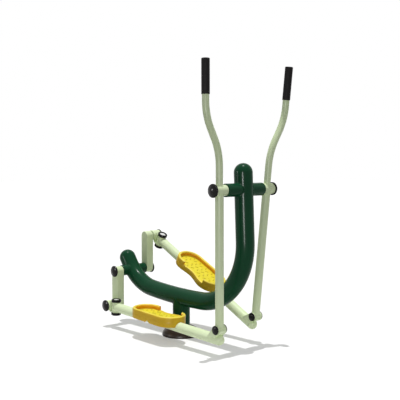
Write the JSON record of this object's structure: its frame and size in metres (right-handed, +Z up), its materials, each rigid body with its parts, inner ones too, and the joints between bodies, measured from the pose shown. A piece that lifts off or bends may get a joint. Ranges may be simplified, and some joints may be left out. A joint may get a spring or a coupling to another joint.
{
  "type": "outdoor air walker",
  "caption": "Crank-driven outdoor air walker: two swinging levers with grips, two foot bars with pedals and a rear crankset on one bent tube and post.",
  "frame": {"origin": "centre of the ground flange's underside, on the axis of the post", "axes": "+X forwards, towards the levers; +Y to the user's left; +Z up"},
  "size_m": [1.2452, 0.6336, 1.6351],
  "materials": {
    "green_paint": "gloss powder coat",
    "pale_paint": "semi-gloss powder coat",
    "black_plastic": "glossy moulded nylon",
    "grip_rubber": "matte moulded rubber",
    "yellow_plastic": "moulded, satin",
    "brown_plastic": "moulded, satin",
    "bare_steel": "turned steel",
    "bush_plastic": "moulded nylon"
  },
  "bodies": {
    "root": {"anchor_bolt_1": "bare_steel", "anchor_bolt_2": "bare_steel", "anchor_bolt_3": "bare_steel", "anchor_bolt_4": "bare_steel", "base_flange": "green_paint", "front_axle": "bare_steel", "front_cross_tube": "green_paint", "ground_cover": "brown_plastic", "main_tube": "green_paint", "main_tube_front_dome": "green_paint", "main_tube_rear_dome": "green_paint", "post": "green_paint", "rear_bearing_left": "bare_steel", "rear_bearing_right": "bare_steel", "rear_bearing_tube": "green_paint"},
    "crankshaft": {"crank_axle": "bare_steel", "left_crank_arm": "pale_paint", "left_crank_axle_cap": "black_plastic", "right_crank_arm": "pale_paint", "right_crank_axle_cap": "black_plastic"},
    "right_lever": {"right_grip": "grip_rubber", "right_handle_tube": "pale_paint", "right_hub_bush": "bush_plastic", "right_hub_cap": "black_plastic", "right_lever_eye": "pale_paint", "right_lever_hub": "pale_paint", "right_lever_tube": "pale_paint"},
    "left_lever": {"left_grip": "grip_rubber", "left_handle_tube": "pale_paint", "left_hub_bush": "bush_plastic", "left_hub_cap": "black_plastic", "left_lever_eye": "pale_paint", "left_lever_hub": "pale_paint", "left_lever_tube": "pale_paint"},
    "right_bar": {"right_clevis": "pale_paint", "right_foot_bar": "pale_paint", "right_pedal": "yellow_plastic", "right_pivot_cap_inner": "black_plastic", "right_pivot_cap_outer": "black_plastic", "right_pivot_pin": "bare_steel"},
    "left_bar": {"left_clevis": "pale_paint", "left_foot_bar": "pale_paint", "left_pedal": "yellow_plastic", "left_pivot_cap_inner": "black_plastic", "left_pivot_cap_outer": "black_plastic", "left_pivot_pin": "bare_steel"},
    "right_knuckle": {"right_crank_pin": "bare_steel", "right_crank_pin_cap": "black_plastic", "right_knuckle": "pale_paint", "right_swivel_cap_bottom": "black_plastic", "right_swivel_cap_top": "black_plastic", "right_swivel_pin": "bare_steel"},
    "left_knuckle": {"left_crank_pin": "bare_steel", "left_crank_pin_cap": "black_plastic", "left_knuckle": "pale_paint", "left_swivel_cap_bottom": "black_plastic", "left_swivel_cap_top": "black_plastic", "left_swivel_pin": "bare_steel"}
  },
  "joints": [
    {"name": "crank_turn", "type": "hinge", "parent": "root", "child": "crankshaft", "pos_m": [-0.49584, 0, 0.35769], "axis": [0, 1, 0], "range_deg": [0, 90]},
    {"name": "right_lever_swing", "type": "hinge", "parent": "root", "child": "right_lever", "pos_m": [0.538, -0.1918, 0.924], "axis": [0, 1, 0], "range_deg": [0, 17.58]},
    {"name": "right_bar_pivot", "type": "hinge", "parent": "right_lever", "child": "right_bar", "pos_m": [0.54072, -0.1918, 0.1554], "axis": [0, 1, 0], "range_deg": [-7.39, 0]},
    {"name": "right_knuckle_swivel", "type": "hinge", "parent": "right_bar", "child": "right_knuckle", "pos_m": [-0.4249, -0.1918, 0.13607], "axis": [0.0411, 0, 0.9992], "range_deg": [-2, 2]},
    {"name": "left_lever_swing", "type": "hinge", "parent": "root", "child": "left_lever", "pos_m": [0.538, 0.1918, 0.924], "axis": [0, 1, 0], "range_deg": [-21.93, 0]},
    {"name": "left_bar_pivot", "type": "hinge", "parent": "left_lever", "child": "left_bar", "pos_m": [0.45357, 0.1918, 0.16005], "axis": [0, 1, 0], "range_deg": [0, 7.91]},
    {"name": "left_knuckle_swivel", "type": "hinge", "parent": "left_bar", "child": "left_knuckle", "pos_m": [-0.43254, 0.1918, 0.54422], "axis": [0.4531, 0, 0.8915], "range_deg": [-2, 2]}
  ],
  "couplings": [
    {"joint": "right_lever_swing", "follows": "crank_turn", "ratio": 0.19523},
    {"joint": "right_bar_pivot", "follows": "crank_turn", "ratio": -0.081991},
    {"joint": "left_lever_swing", "follows": "crank_turn", "ratio": -0.24354},
    {"joint": "left_bar_pivot", "follows": "crank_turn", "ratio": 0.087766}
  ]
}
